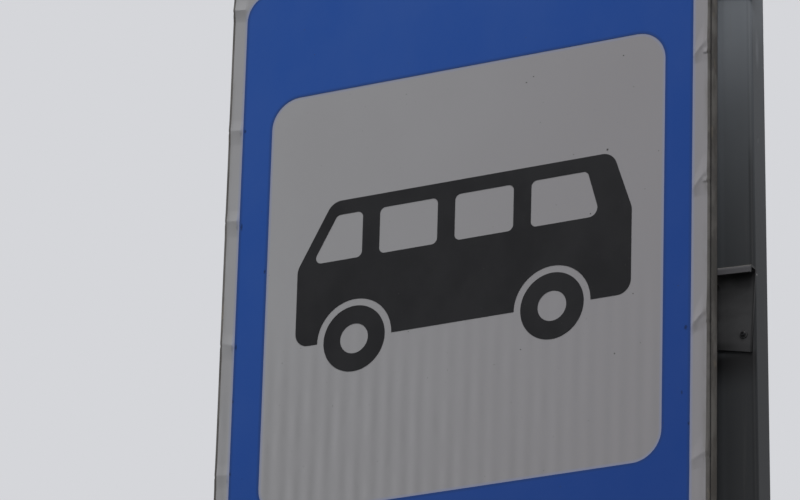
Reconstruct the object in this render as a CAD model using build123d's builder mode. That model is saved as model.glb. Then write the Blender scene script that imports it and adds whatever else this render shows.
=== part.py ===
"""Bus stop road sign, hung at one side of a rectangular steel post.

Millimetres. Z is up, X runs to the right along the sign and Y runs back, so the sign faces -Y.
The origin is on the ground, under the foot plate, in the middle of its four anchor holes.
"""
import math
import os

from build123d import *

os.makedirs("parts", exist_ok=True)

# Foot plate, with one anchor hole near each corner
plate_side = 440
plate_thickness = 16
plate_corner = 30
plate_edge_break = 2
anchor_spacing = 340
anchor_hole = 22

# Post, a rectangular tube
post_width = 60
post_depth = 40
post_wall = 3
post_corner = 4.5
post_above_sign = 15

# Ribs welded between the post and the foot plate
gusset_reach = 120
gusset_height = 170
gusset_thickness = 8
gusset_nose = 18
gusset_weld_snipe = 10

# Plug cap in the top of the post
cap_thickness = 5
cap_overhang = 1.5
cap_dome = 3
cap_plug_length = 16
cap_plug_wall = 2
cap_clearance = 0.3

# Sign panel, a sheet steel pan with a rolled front edge and a return lip at the back
sign_width = 700
sign_height = 1050
sign_corner = 20
sign_ground_clearance = 2100
sign_past_post = 43.7
sign_lean = 1.1
sheet = 1.2
flange_depth = 22
lip_width = 14
rolled_edge = 4

# Films on the front, from the white base upwards
film = 0.4
rim_width = 24
blue_corner = 36
blue_shift = -0.3
square_width = 570
square_height = 575
square_corner = 40
square_rise = 55.5
square_shift = 2.5

# Rails across the sign's back, each a folded plate with a top flange and a lip turned down
rail_height = 100
rail_depth = 18
rail_sheet = 3
rail_lip = 10.5
rail_bend = 5
rail_end_inset = 3
rail_past_post = 0.5

# Each rail's web is deeper at the post, where it is bolted on
lug_length = 66
lug_drop = 11

# Rails: name, height of the middle over the panel's middle, angle by which the right end hangs lower
rail_table = [
    ("rail_upper", 445, 0),
    ("rail_middle", -17, 2.7),
    ("rail_lower", -440, 0),
]

# Bus pictogram, measured from the middle of the white square
bus_front = -238.7
bus_rear = 240.3
bus_bottom = -62.5
bus_roof = 131
nose_height = 106.5
nose_slope = 29.4
tail_height = 115.5
tail_slope = 19.3
nose_roof_corner = 22
tail_roof_corner = 21
bottom_corner = 19

# Its windows, in one band between the slanted ends of the body
window_bottom = 48.3
window_top = 111.5
window_corner = 8
last_window_corner = 12
window_width = 84
window_gap = 25
first_window_right = -144.7
window_nose_margin = 18.5
window_tail_margin_low = 45.7
window_tail_margin_high = 42.2

# Its wheels and the arches round them
front_wheel = -152.3
rear_wheel = 130.5
wheel_radius = 44.5
hub_radius = 20.2
arch_radius = 54

post_bottom = plate_thickness
sign_middle = sign_ground_clearance + sign_height / 2
post_top = sign_middle + sign_height / 2 + post_above_sign
post_front = -post_depth / 2

# The rails stand between the post's front and the panel's return lips
panel_back = post_front - rail_depth
panel_front = panel_back - flange_depth
sign_offset = post_width / 2 - sign_past_post - sign_width / 2

# The sign hangs a little crooked: its right edge is lower than its left
lean = math.radians(sign_lean)
sign_right = (math.cos(lean), 0, -math.sin(lean))
sign_face = Plane(origin=(sign_offset, panel_front, sign_middle), x_dir=sign_right, z_dir=(0, -1, 0))


# Foot plate
with BuildPart() as base_plate:
    with BuildSketch(Plane.XY):
        RectangleRounded(plate_side, plate_side, plate_corner)
        with GridLocations(anchor_spacing, anchor_spacing, 2, 2):
            Circle(anchor_hole / 2, mode=Mode.SUBTRACT)
    extrude(amount=plate_thickness)
    top_rim = base_plate.faces().sort_by(Axis.Z)[-1].outer_wire().edges()
    chamfer(top_rim, plate_edge_break)
base_plate.part.label = "base_plate"
export_step(base_plate.part, "parts/base_plate.step")


# Post
with BuildPart() as post:
    with BuildSketch(Plane.XY.offset(post_bottom)):
        RectangleRounded(post_width, post_depth, post_corner)
        RectangleRounded(
            post_width - 2 * post_wall,
            post_depth - 2 * post_wall,
            post_corner - post_wall,
            mode=Mode.SUBTRACT,
        )
    extrude(amount=post_top - post_bottom)
post.part.label = "post"
export_step(post.part, "parts/post.step")


# Gussets, one on each side of the post: direction it points in, distance of the post's side from its axis
gusset_table = [
    ((1, 0, 0), post_width / 2),
    ((-1, 0, 0), post_width / 2),
    ((0, 1, 0), post_depth / 2),
    ((0, -1, 0), post_depth / 2),
]
with BuildPart() as gussets:
    for direction, start in gusset_table:
        outward = Vector(direction)
        rib_plane = Plane(
            origin=outward * start + Vector(0, 0, plate_thickness),
            x_dir=direction,
            z_dir=outward.cross(Vector(0, 0, 1)),
        )
        with BuildSketch(rib_plane):
            with BuildLine():
                Polyline(
                    (gusset_weld_snipe, 0),
                    (gusset_reach, 0),
                    (gusset_reach, gusset_nose),
                    (gusset_nose, gusset_height),
                    (0, gusset_height),
                    (0, gusset_weld_snipe),
                    close=True,
                )
            make_face()
        extrude(amount=gusset_thickness / 2, both=True)
gussets.part.label = "gussets"
export_step(gussets.part, "parts/gussets.step")


# Plug cap: a shallow domed lid on the tube's end, with a hollow plug inside the tube
with BuildPart() as post_cap:
    with BuildSketch(Plane.XY.offset(post_top)):
        RectangleRounded(
            post_width + 2 * cap_overhang,
            post_depth + 2 * cap_overhang,
            post_corner + cap_overhang,
        )
    extrude(amount=cap_thickness)
    fillet(post_cap.faces().sort_by(Axis.Z)[-1].edges(), cap_dome)
    plug_width = post_width - 2 * (post_wall + cap_clearance)
    plug_depth = post_depth - 2 * (post_wall + cap_clearance)
    with BuildSketch(Plane.XY.offset(post_top)):
        RectangleRounded(plug_width, plug_depth, post_corner - post_wall)
        Rectangle(plug_width - 2 * cap_plug_wall, plug_depth - 2 * cap_plug_wall, mode=Mode.SUBTRACT)
    extrude(amount=-cap_plug_length)
post_cap.part.label = "post_cap"
export_step(post_cap.part, "parts/post_cap.step")


# Sign panel
with BuildPart() as sign_panel:
    with BuildSketch(sign_face):
        RectangleRounded(sign_width, sign_height, sign_corner)
    extrude(amount=-flange_depth)
    fillet(sign_panel.faces().sort_by(Axis.Y)[0].edges(), rolled_edge)
    with BuildSketch(sign_face.offset(-sheet)):
        RectangleRounded(sign_width - 2 * sheet, sign_height - 2 * sheet, sign_corner - sheet)
    extrude(amount=2 * sheet - flange_depth, mode=Mode.SUBTRACT)
    inner_rim = sign_panel.edges().filter_by_position(
        Axis.Y, panel_front + sheet, panel_front + sheet
    )
    fillet(inner_rim, rolled_edge - sheet)
    with BuildSketch(sign_face.offset(sheet - flange_depth)):
        RectangleRounded(
            sign_width - 2 * lip_width,
            sign_height - 2 * lip_width,
            sign_corner - lip_width,
        )
    extrude(amount=-sheet, mode=Mode.SUBTRACT)
sign_panel.part.label = "sign_panel"
export_step(sign_panel.part, "parts/sign_panel.step")


# White base film, over the flat of the front inside the rolled edge
with BuildPart() as white_film:
    with BuildSketch(sign_face):
        RectangleRounded(
            sign_width - 2 * rolled_edge,
            sign_height - 2 * rolled_edge,
            sign_corner - rolled_edge,
        )
    extrude(amount=film)
white_film.part.label = "white_film"
export_step(white_film.part, "parts/white_film.step")


# Blue film with the square window
with BuildPart() as blue_film:
    with BuildSketch(sign_face.offset(film)):
        with Locations((blue_shift, 0)):
            RectangleRounded(
                sign_width - 2 * rim_width,
                sign_height - 2 * rim_width,
                blue_corner,
            )
        with Locations((square_shift, square_rise)):
            RectangleRounded(square_width, square_height, square_corner, mode=Mode.SUBTRACT)
    extrude(amount=film)
blue_film.part.label = "blue_film"
export_step(blue_film.part, "parts/blue_film.step")


# Pictogram's plane, on the white film in the middle of the square
square_middle = sign_face.from_local_coords((square_shift, square_rise, film))
bus_face = Plane(origin=square_middle, x_dir=sign_right, z_dir=(0, -1, 0))


def nose_line(height, inset=0):
    """Where the slanted front of the body is at a height, moved inward by the inset."""
    start = bus_bottom + nose_height
    return bus_front + inset + (height - start) * math.tan(math.radians(nose_slope))


def tail_line(height, inset=0):
    """Where the slanted rear of the body is at a height, moved inward by the inset."""
    start = bus_bottom + tail_height
    return bus_rear - inset - (height - start) * math.tan(math.radians(tail_slope))


# Windows, first to last: bottom left, bottom right, top right, top left
second_left = first_window_right + window_gap
third_left = second_left + window_width + window_gap
fourth_left = third_left + window_width + window_gap
window_ends = [
    (
        nose_line(window_bottom, window_nose_margin),
        first_window_right,
        first_window_right,
        nose_line(window_top, window_nose_margin),
    ),
    (second_left, second_left + window_width, second_left + window_width, second_left),
    (third_left, third_left + window_width, third_left + window_width, third_left),
    (
        fourth_left,
        tail_line(window_bottom, window_tail_margin_low),
        tail_line(window_top, window_tail_margin_high),
        fourth_left,
    ),
]
window_levels = (window_bottom, window_bottom, window_top, window_top)

# Pictogram's body
with BuildPart() as bus_film:
    with BuildSketch(bus_face):
        with BuildLine():
            FilletPolyline(
                (bus_front, bus_bottom),
                (bus_rear, bus_bottom),
                (bus_rear, bus_bottom + tail_height),
                (tail_line(bus_roof), bus_roof),
                (nose_line(bus_roof), bus_roof),
                (bus_front, bus_bottom + nose_height),
                radius=(
                    bottom_corner,
                    bottom_corner,
                    tail_roof_corner,
                    tail_roof_corner,
                    nose_roof_corner,
                    nose_roof_corner,
                ),
                close=True,
            )
        make_face()
        for ends in window_ends:
            low_right_corner = last_window_corner if ends is window_ends[-1] else window_corner
            with BuildLine():
                FilletPolyline(
                    *zip(ends, window_levels),
                    radius=(window_corner, low_right_corner, window_corner, window_corner),
                    close=True,
                )
            make_face(mode=Mode.SUBTRACT)
        with Locations((front_wheel, bus_bottom), (rear_wheel, bus_bottom)):
            Circle(arch_radius, mode=Mode.SUBTRACT)
    extrude(amount=film)
bus_film.part.label = "bus_film"
export_step(bus_film.part, "parts/bus_film.step")


# Pictogram's wheels
with BuildPart() as wheel_film:
    with BuildSketch(bus_face):
        with Locations((front_wheel, bus_bottom), (rear_wheel, bus_bottom)):
            Circle(wheel_radius)
            Circle(hub_radius, mode=Mode.SUBTRACT)
    extrude(amount=film)
wheel_film.part.label = "wheel_film"
export_step(wheel_film.part, "parts/wheel_film.step")


def build_rail(name, height, skew):
    """One rail, folded from plate, with its middle at a height above the panel's middle."""
    left = -sign_width / 2 + rail_end_inset
    right = sign_width / 2 + sign_past_post + rail_past_post
    middle = sign_face.from_local_coords(((left + right) / 2, height, -flange_depth - rail_depth))
    slope = lean + math.radians(skew)
    rail_right = Vector(math.cos(slope), 0, -math.sin(slope))
    top = rail_height / 2
    end = (right - left) / 2
    with BuildPart() as rail:
        with BuildSketch(Plane(origin=middle, x_dir=(0, -1, 0), z_dir=-rail_right)):
            with BuildLine():
                FilletPolyline(
                    (0, -top),
                    (rail_sheet, -top),
                    (rail_sheet, top - rail_sheet),
                    (rail_depth - rail_sheet, top - rail_sheet),
                    (rail_depth - rail_sheet, top - rail_lip),
                    (rail_depth, top - rail_lip),
                    (rail_depth, top),
                    (0, top),
                    radius=(
                        0,
                        0,
                        rail_bend - rail_sheet,
                        rail_bend - rail_sheet,
                        0,
                        0,
                        rail_bend,
                        rail_bend,
                    ),
                    close=True,
                )
            make_face()
        extrude(amount=end, both=True)
        with BuildSketch(Plane(origin=middle, x_dir=rail_right, z_dir=(0, -1, 0))):
            Polygon(
                (end - lug_length, -top),
                (end, -top - lug_drop),
                (end, -top),
                align=None,
            )
        extrude(amount=rail_sheet)
    rail.part.label = name
    export_step(rail.part, f"parts/{name}.step")


# Rails
for rail_name, rail_rise, rail_skew in rail_table:
    build_rail(rail_name, rail_rise, rail_skew)
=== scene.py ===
"""Looks of the bus stop road sign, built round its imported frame.

Metres. Z is up, X runs to the right along the sign and Y runs back, so the sign faces -Y.
"""
import math
import random

import bmesh
import bpy
from mathutils import Matrix, Vector


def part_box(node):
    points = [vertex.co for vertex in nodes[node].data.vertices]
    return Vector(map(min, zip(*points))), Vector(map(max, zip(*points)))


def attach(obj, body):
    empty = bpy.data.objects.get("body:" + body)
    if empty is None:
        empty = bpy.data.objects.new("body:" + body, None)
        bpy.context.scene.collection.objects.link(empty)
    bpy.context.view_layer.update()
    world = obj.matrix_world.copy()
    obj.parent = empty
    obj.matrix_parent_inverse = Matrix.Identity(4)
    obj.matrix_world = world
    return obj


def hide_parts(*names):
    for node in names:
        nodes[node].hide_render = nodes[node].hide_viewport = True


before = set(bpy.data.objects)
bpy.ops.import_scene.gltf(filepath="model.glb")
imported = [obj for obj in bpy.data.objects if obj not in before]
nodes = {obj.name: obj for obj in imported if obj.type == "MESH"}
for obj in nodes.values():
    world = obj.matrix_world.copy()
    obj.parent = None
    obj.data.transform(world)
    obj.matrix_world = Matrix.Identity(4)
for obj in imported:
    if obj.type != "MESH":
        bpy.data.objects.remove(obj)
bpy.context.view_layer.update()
chance = random.Random(7)

# Sizes of the real sign that its boxes in the frame don't give
SIGN_WIDTH = 0.700
SIGN_HEIGHT = 1.050
SIGN_CORNER = 0.020
SIGN_LEAN = math.radians(1.1)
SHEET = 0.0012
ROLLED_EDGE = 0.004
LIP_WIDTH = 0.014
LIP_NOTCH_END = 0.003
RIM_WIDTH = 0.024
FILM = 0.0004
SQUARE_MIDDLE = (0.0025, 0.0555)
SQUARE_WIDTH = 0.570
SQUARE_HEIGHT = 0.575
SQUARE_CORNER = 0.040
BLUE_MIDDLE = (-0.0003, 0.0)
BLUE_CORNER = 0.036

# Rails: how far each one's right end hangs down, and how thick its plate is
RAIL_SLOPES = {
    "rail_upper": math.radians(1.1),
    "rail_middle": math.radians(3.8),
    "rail_lower": math.radians(1.1),
}
RAIL_SHEET = 0.003
RAIL_HEIGHT = 0.100
LUG_LENGTH = 0.066
LUG_DROP = 0.011

panel_low, panel_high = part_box("sign_panel")
panel_middle = (panel_low + panel_high) / 2
panel_front = panel_low.y
flange_depth = panel_high.y - panel_low.y
sign_right = Vector((math.cos(SIGN_LEAN), 0, -math.sin(SIGN_LEAN)))
sign_up = Vector((math.sin(SIGN_LEAN), 0, math.cos(SIGN_LEAN)))
post_low, post_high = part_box("post")
plate_top = post_low.z
UP = Vector((0, 0, 1))


def on_sign(right, up, back=0.0):
    """The point at a place on the sign's front, measured from its middle, and a depth behind it."""
    middle = Vector((panel_middle.x, panel_front + back, panel_middle.z))
    return middle + right * sign_right + up * sign_up


def rail_line(name, x):
    """Height of a rail's top edge at a place along it."""
    low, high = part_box(name)
    slope = RAIL_SLOPES[name]
    highest = low.x + RAIL_HEIGHT * math.sin(slope)
    return high.z - (x - highest) * math.tan(slope)


def add_object(name, data):
    thing = bpy.data.objects.new(name, data)
    bpy.context.scene.collection.objects.link(thing)
    return thing


# Camera, at floor level as the photo's view from below
CAMERA_PLACE = Vector((2.7322, -5.8923, 0.050))
CAMERA_AZIMUTH = math.radians(28.607)
CAMERA_ELEVATION = math.radians(-21.974)
CAMERA_ROLL = math.radians(0.650)
CAMERA_LENS = 252.5


def build_camera():
    back = Vector((
        math.sin(CAMERA_AZIMUTH) * math.cos(CAMERA_ELEVATION),
        -math.cos(CAMERA_AZIMUTH) * math.cos(CAMERA_ELEVATION),
        math.sin(CAMERA_ELEVATION),
    ))
    level = UP.cross(back).normalized()
    upright = back.cross(level)
    right = level * math.cos(CAMERA_ROLL) + upright * math.sin(CAMERA_ROLL)
    data = bpy.data.cameras.new("camera")
    data.sensor_width = 36
    data.lens = CAMERA_LENS
    data.clip_start = 0.1
    data.clip_end = 200
    camera = add_object("camera", data)
    turn = Matrix((right, back.cross(right), back)).transposed().to_4x4()
    camera.matrix_world = Matrix.Translation(CAMERA_PLACE) @ turn
    bpy.context.scene.camera = camera


# Shader nodes. Every helper adds to the tree on the bench

class Bench:
    """The material that is being made, and its node tree."""
    material = None
    tree = None


class Value:
    """What comes out of a node. It is added, subtracted, multiplied and divided as a number is."""

    def __init__(self, socket):
        self.socket = socket

    def __add__(self, other):
        return calc("ADD", self, other)

    def __radd__(self, other):
        return calc("ADD", other, self)

    def __sub__(self, other):
        return calc("SUBTRACT", self, other)

    def __rsub__(self, other):
        return calc("SUBTRACT", other, self)

    def __mul__(self, other):
        return calc("MULTIPLY", self, other)

    def __truediv__(self, other):
        return calc("DIVIDE", self, other)

    def __rtruediv__(self, other):
        return calc("DIVIDE", other, self)


def feed(socket, source):
    """Gives an input a constant, or joins it to another node's output."""
    if isinstance(source, Value):
        Bench.tree.links.new(source.socket, socket)
    else:
        socket.default_value = source


def put(kind, inputs=None, out=0, **settings):
    """Adds a shader node with its settings and inputs, and gives one of its outputs."""
    node = Bench.tree.nodes.new("ShaderNode" + kind)
    for name, value in settings.items():
        setattr(node, name, value)
    for name, source in (inputs or {}).items():
        feed(node.inputs[name], source)
    return Value(node.outputs[out])


def outputs(value, *names):
    """Several outputs of the node that a value comes from."""
    return [Value(value.socket.node.outputs[name]) for name in names]


def calc(operation, *values):
    """A math node's result."""
    return put("Math", dict(enumerate(values)), operation=operation)


def most(*values):
    """The largest of some values."""
    largest = values[-1]
    for value in reversed(values[:-1]):
        largest = calc("MAXIMUM", value, largest)
    return largest


def ramp(value, low, high, bottom=0.0, top=1.0):
    """The value brought smoothly from one range to another."""
    inputs = {"Value": value, "From Min": low, "From Max": high, "To Min": bottom, "To Max": top}
    return put("MapRange", inputs, interpolation_type="SMOOTHSTEP")


def mix(share, under, over, way="MIX"):
    """Two colours mixed by a share from 0 to 1."""
    return put("Mix", {0: share, 6: under, 7: over}, 2, data_type="RGBA", blend_type=way)


def shaded(colour, level):
    """A colour made lighter or darker by a level, where 1 leaves it as it is."""
    return mix(1.0, colour, put("CombineColor", {"Red": level, "Green": level, "Blue": level}), "MULTIPLY")


def split(place):
    """A place's parts along X, Y and Z."""
    return outputs(put("SeparateXYZ", {"Vector": place}), "X", "Y", "Z")


def join(x, y, z):
    return put("CombineXYZ", {"X": x, "Y": y, "Z": z})


def object_place():
    return put("TexCoord", out="Object")


def clouds(place, scale, detail=4.0, roughness=0.55):
    """Plain noise from 0 to 1, near 0.5 in most places."""
    inputs = {"Vector": place, "Scale": scale, "Detail": detail, "Roughness": roughness}
    return put("TexNoise", inputs, "Fac")


def stretched_clouds(scales, detail, roughness=0.55):
    """Noise with its own scale along X, Y and Z."""
    return clouds(put("Mapping", {"Vector": object_place(), "Scale": scales}), 1.0, detail, roughness)


def paint(red, green, blue):
    """A colour written as it looks on a screen, from 0 to 255, as Blender wants it."""
    def straight(value):
        value /= 255
        return value / 12.92 if value <= 0.04045 else ((value + 0.055) / 1.055) ** 2.4
    return (straight(red), straight(green), straight(blue), 1.0)


# Shader node groups that more than one material uses

def shader_group(name, results, **inputs):
    """Makes a node group of the function below it, with named sockets, and gives what places it."""
    def label(word):
        return word.replace("_", " ").title()

    def build(body):
        group = Bench.tree = bpy.data.node_groups.new(name, "ShaderNodeTree")
        for word, value in inputs.items():
            kind = "NodeSocketVector" if isinstance(value, tuple) else "NodeSocketFloat"
            socket = group.interface.new_socket(name=label(word), in_out="INPUT", socket_type=kind)
            socket.default_value = value
        for word in results:
            kind = "NodeSocketColor" if word == "Colour" else "NodeSocketFloat"
            group.interface.new_socket(name=word, in_out="OUTPUT", socket_type=kind)
        given = [Value(socket) for socket in group.nodes.new("NodeGroupInput").outputs]
        made = body(*given[:len(inputs)])
        ends = group.nodes.new("NodeGroupOutput").inputs
        for socket, value in zip(ends, made if isinstance(made, tuple) else (made,)):
            feed(socket, value)

        def place(**values):
            node = Bench.tree.nodes.new("ShaderNodeGroup")
            node.node_tree = group
            for word, value in values.items():
                feed(node.inputs[label(word)], value)
            ready = [Value(socket) for socket in node.outputs]
            return ready if len(ready) > 1 else ready[0]
        return place
    return build


@shader_group("Place on the sign", ["Right", "Up", "Back"], middle=(0, 0, 0), lean=0.0)
def sign_place(middle, lean):
    """Where a point is on the sign: to the right, up and back from the middle of its front."""
    away = put("VectorMath", {0: object_place(), 1: middle}, operation="SUBTRACT")
    x, y, z = split(put("VectorRotate", {"Vector": away, "Angle": lean}, rotation_type="Y_AXIS"))
    return x, z, y


@shader_group("Distance from outline", ["Distance"], right=0.0, up=0.0, middle_right=0.0, middle_up=0.0,
              width=0.0, height=0.0, corner=0.0)
def outline_distance(right, up, middle_right, middle_up, width, height, corner):
    """Distance from the outline of a rounded rectangle, negative inside it."""
    across = calc("ABSOLUTE", right - middle_right) - (width * 0.5 - corner)
    along = calc("ABSOLUTE", up - middle_up) - (height * 0.5 - corner)
    square = calc("POWER", most(across, 0.0), 2.0) + calc("POWER", most(along, 0.0), 2.0)
    inside = calc("MINIMUM", most(across, along), 0.0)
    return calc("SQRT", square) + inside - corner


@shader_group("Mottle", ["Mask"], scale=10.0, stretch=1.0, low=0.45, high=0.6)
def mottle(scale, stretch, low, high):
    """Uneven patches, from none to full between two levels of the noise."""
    x, y, z = split(object_place())
    return ramp(clouds(join(x, y, z / stretch), scale, 6.0, 0.6), low, high)


@shader_group("Rain streaks", ["Mask"], width=0.01, length=0.3, amount=0.3)
def streaks(width, length, amount):
    """Run-off streaks down a face, wide at the top of each one's noise cell and broken along it."""
    x, y, z = split(object_place())
    level = clouds(join(x / width, y / width, z / length), 1.0, 3.0, 0.5)
    low = 0.72 - amount * 0.3
    return ramp(level, low, low + 0.16)


@shader_group("Paint skin", ["Height", "Shade"], grain=700.0, wander=0.1)
def paint_skin(grain, wander):
    """Brushed or sprayed paint: fine orange peel, and a shade that wanders a little."""
    place = object_place()
    drift = clouds(place, 9.0, 5.0, 0.6)
    return clouds(place, grain, 2.0, 0.4), 1.0 + (drift - 0.5) * wander


@shader_group("Edge wear", ["Mask"], radius=0.0015, amount=0.5, scale=60.0)
def edge_wear(radius, amount, scale):
    """Paint rubbed off along sharp edges, more in some places than in others."""
    normals = {0: put("Bevel", {"Radius": radius}, samples=6), 1: put("NewGeometry", out="Normal")}
    alike = put("VectorMath", normals, "Value", operation="DOT_PRODUCT")
    low = 0.75 - amount * 0.5
    wear_and_painted_light = ramp(clouds(object_place(), scale, 5.0, 0.65), low, low + 0.08)
    return ramp(1.0 - alike, 0.01, 0.12) * wear_and_painted_light


@shader_group("Rust", ["Colour", "Mask", "Height"], scale=80.0, share=0.3)
def rust(scale, share):
    """Rust: its mottled colour, where it has broken out of a place's share, and its crust."""
    place = object_place()
    level = clouds(place, scale, 8.0, 0.68)
    tint = clouds(place, scale * 2.7, 4.0, 0.6)
    low = 0.8 - share * 0.6
    colour = mix(ramp(tint, 0.35, 0.65), paint(62, 38, 28), paint(124, 74, 44))
    return colour, ramp(level, low, low + 0.07), level


@shader_group("Zinc spangle", ["Shade", "Roughness", "Height"], crystal=0.008, contrast=0.25)
def zinc(crystal, contrast):
    """Hot-dip zinc: flat crystals of slightly different greys, with dull bloom over them."""
    place = object_place()
    bent = mix(0.006, place, put("TexNoise", {"Vector": place, "Scale": 120.0}, "Color"))
    cells = put("TexVoronoi", {"Vector": bent, "Scale": 1.0 / crystal}, "Color")
    grey = put("SeparateColor", {"Color": cells}, "Red")
    bloom = ramp(clouds(place, 14.0, 6.0, 0.6), 0.4, 0.62)
    return 1.0 + (grey - 0.5) * contrast, 0.38 + (grey * 0.12 + bloom * 0.18), grey * bloom


@shader_group("Settled dust", ["Mask"], amount=0.5, scale=30.0)
def settled_dust(amount, scale):
    """Dust that has settled on what faces up."""
    facing = split(put("NewGeometry", out="Normal"))[2]
    patches = ramp(clouds(object_place(), scale, 6.0, 0.65), 0.3, 0.7, 0.4, 1.0)
    return ramp(facing, 0.25, 0.95) * patches * amount


@shader_group("Soft spot", ["Mask"], point=(0, 0, 0), radius=0.005, tall=1.0)
def spot(point, radius, tall):
    """One soft spot round a point, with a ragged edge."""
    place = object_place()
    x, y, z = split(put("VectorMath", {0: place, 1: point}, operation="SUBTRACT"))
    far = put("VectorMath", {0: join(x, y, z / tall)}, "Value", operation="LENGTH")
    ragged = clouds(place, 500.0, 3.0, 0.6) * 0.8
    return ramp(far / radius + ragged, 1.3, 0.5)


# Materials

# How glossy each kind of skin is
FLOOR_GLOSS = 0.1
FILM_GLOSS = 0.12
PAINT_GLOSS = 0.18
WELD_GLOSS = 0.3
SHEET_GLOSS = 0.35
PLAIN_GLOSS = 0.5


def start_material(name):
    """Puts a new material on the bench."""
    Bench.material = bpy.data.materials.new(name)
    Bench.material.use_nodes = True
    Bench.tree = Bench.material.node_tree
    Bench.tree.nodes.clear()


def show(kind, shader):
    """Joins a shader to the tree's output."""
    feed(Bench.tree.nodes.new("ShaderNodeOutput" + kind).inputs["Surface"], shader)


def finish_material(colour, rough, gloss, normal=None, metal=None):
    """Gives the material on the bench its surface, and hands it over."""
    inputs = {"Base Color": colour, "Roughness": rough, "Specular IOR Level": gloss}
    if normal:
        inputs["Normal"] = normal
    if metal:
        inputs["Metallic"] = metal
    show("Material", put("BsdfPrincipled", inputs))
    return Bench.material


def bumped(height, distance, under=None):
    """A normal from a height, laid over another bump."""
    inputs = {"Height": height, "Distance": distance, "Strength": 1.0}
    if under:
        inputs["Normal"] = under
    return put("Bump", inputs)


def with_spots(colour, marks):
    """A colour with single marks on it: each one's place, radius, how much taller than wide, and colour."""
    for point, radius, tall, mark in marks:
        colour = mix(spot(point=tuple(point), radius=radius, tall=tall), colour, mark)
    return colour


def place_on_sign():
    return sign_place(middle=(panel_middle.x, panel_front, panel_middle.z), lean=-SIGN_LEAN)


def panel_edge(right, up):
    """Distance from the panel's outer outline, negative inside."""
    return outline_distance(right=right, up=up, width=SIGN_WIDTH, height=SIGN_HEIGHT, corner=SIGN_CORNER)


def blue_borders(right, up):
    """Distances from the blue film's outer outline and from its window, negative inside each."""
    outer = (BLUE_MIDDLE, SIGN_WIDTH - 2 * RIM_WIDTH, SIGN_HEIGHT - 2 * RIM_WIDTH, BLUE_CORNER)
    window = (SQUARE_MIDDLE, SQUARE_WIDTH, SQUARE_HEIGHT, SQUARE_CORNER)
    return [
        outline_distance(right=right, up=up, middle_right=middle[0], middle_up=middle[1],
                         width=width, height=height, corner=corner)
        for middle, width, height, corner in (outer, window)
    ]


def film_skin():
    """Long shallow waves of the sheet under a film, with the film's fine grain, as a normal."""
    waves = bumped(stretched_clouds((5.0, 5.0, 2.5), 2.0, 0.5), 0.0016)
    return bumped(clouds(object_place(), 900.0, 2.0, 0.5), 0.00002, waves)


# Faint upright ribs in the lower part of the white field, strongest at its left
RIB_PITCH = 0.022
RIB_START = 0.004
RIB_TOP = 0.040
RIB_BOTTOM = -0.160
RIB_STRENGTH_LEFT = 0.064
RIB_STRENGTH_RIGHT = 0.024
RIB_FIELD_SIDE = 0.26
RIB_WANDER = 0.28

# Dark marks on the blue film: right, up, radius, and how many times taller than wide. Those at the left
# border where the creases end are painted shade of the creases
BLUE_MARKS = [
    (-0.2855, 0.1058, 0.0026, 1.7),
    (-0.3232, 0.3087, 0.0030, 1.3),
    (-0.3228, 0.1740, 0.0026, 3.2),
    (-0.3240, 0.0070, 0.0022, 3.0),
    (-0.3255, -0.0673, 0.0022, 1.7),
    (-0.3254, -0.1657, 0.0026, 1.7),
    (0.3193, -0.0650, 0.0036, 1.5),
    (0.3147, -0.1496, 0.0022, 1.9),
    (0.3246, -0.1915, 0.0024, 1.7),
]

# Dark marks on the white film, written the same way: the first at a pinch on the right, the other four
# painted shade beside the blue film where the left creases end
WHITE_MARKS = [
    (0.3450, -0.2410, 0.0026, 3.2),
    (-0.3288, 0.3055, 0.0030, 2.2),
    (-0.3288, 0.1743, 0.0030, 2.4),
    (-0.3288, 0.0050, 0.0032, 2.4),
    (-0.3288, -0.1750, 0.0028, 2.2),
]


def marks_on_film(marks, back):
    """One mask for all the dark marks of a film."""
    dirt = None
    for right, up, radius, tall in marks:
        mask = spot(point=tuple(on_sign(right, up, back)), radius=radius, tall=tall)
        dirt = mask if dirt is None else most(dirt, mask)
    return dirt


def ribs(right, up):
    """How much lighter or darker the ribs make the white film."""
    wander = (stretched_clouds((24.0, 1.0, 7.0), 2.0) - 0.5) * RIB_WANDER
    wave = calc("COSINE", ((right - RIB_START) / RIB_PITCH + wander) * (2 * math.pi))
    fade = calc("SQRT", ramp(up, RIB_TOP, RIB_BOTTOM))
    strength = ramp(right, RIB_FIELD_SIDE, -RIB_FIELD_SIDE, RIB_STRENGTH_RIGHT, RIB_STRENGTH_LEFT)
    patches = mottle(scale=34.0, stretch=2.5, low=0.35, high=0.65)
    return wave * fade * (strength * (0.45 + patches * 1.15))


def white_film_material():
    start_material("white_film_weathered")
    right, up, _ = place_on_sign()
    drift = mottle(scale=5.0, stretch=1.5, low=0.3, high=0.7)
    # Painted light: the white film is lighter towards the left, as the light falls
    wear_and_painted_light = mix(ramp(right, 0.40, -0.40), paint(137, 135, 138), paint(148, 148, 150))
    colour = mix(drift * 0.25, wear_and_painted_light, paint(134, 132, 134))
    colour = shaded(colour, 1.0 + ribs(right, up))
    by_blue = most(*[ramp(calc("ABSOLUTE", border), 0.0050, 0.0008) for border in blue_borders(right, up)])
    colour = mix(by_blue * 0.7, colour, paint(130, 137, 166))
    grimy_edge = ramp(panel_edge(right, up), -0.011, -0.0035)
    grimy_edge = grimy_edge * mottle(scale=60.0, stretch=3.0, low=0.35, high=0.75)
    colour = mix(grimy_edge * 0.5, colour, paint(104, 101, 96))
    # Dark marks on the white film, most of them painted shade where the left creases meet the blue film
    colour = mix(marks_on_film(WHITE_MARKS, -0.002) * 0.3, colour, paint(96, 94, 94))
    colour = mix(mottle(scale=260.0, low=0.705, high=0.74) * 0.45, colour, paint(82, 80, 80))
    return finish_material(colour, 0.42 + drift * 0.1, FILM_GLOSS, film_skin())


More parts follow.
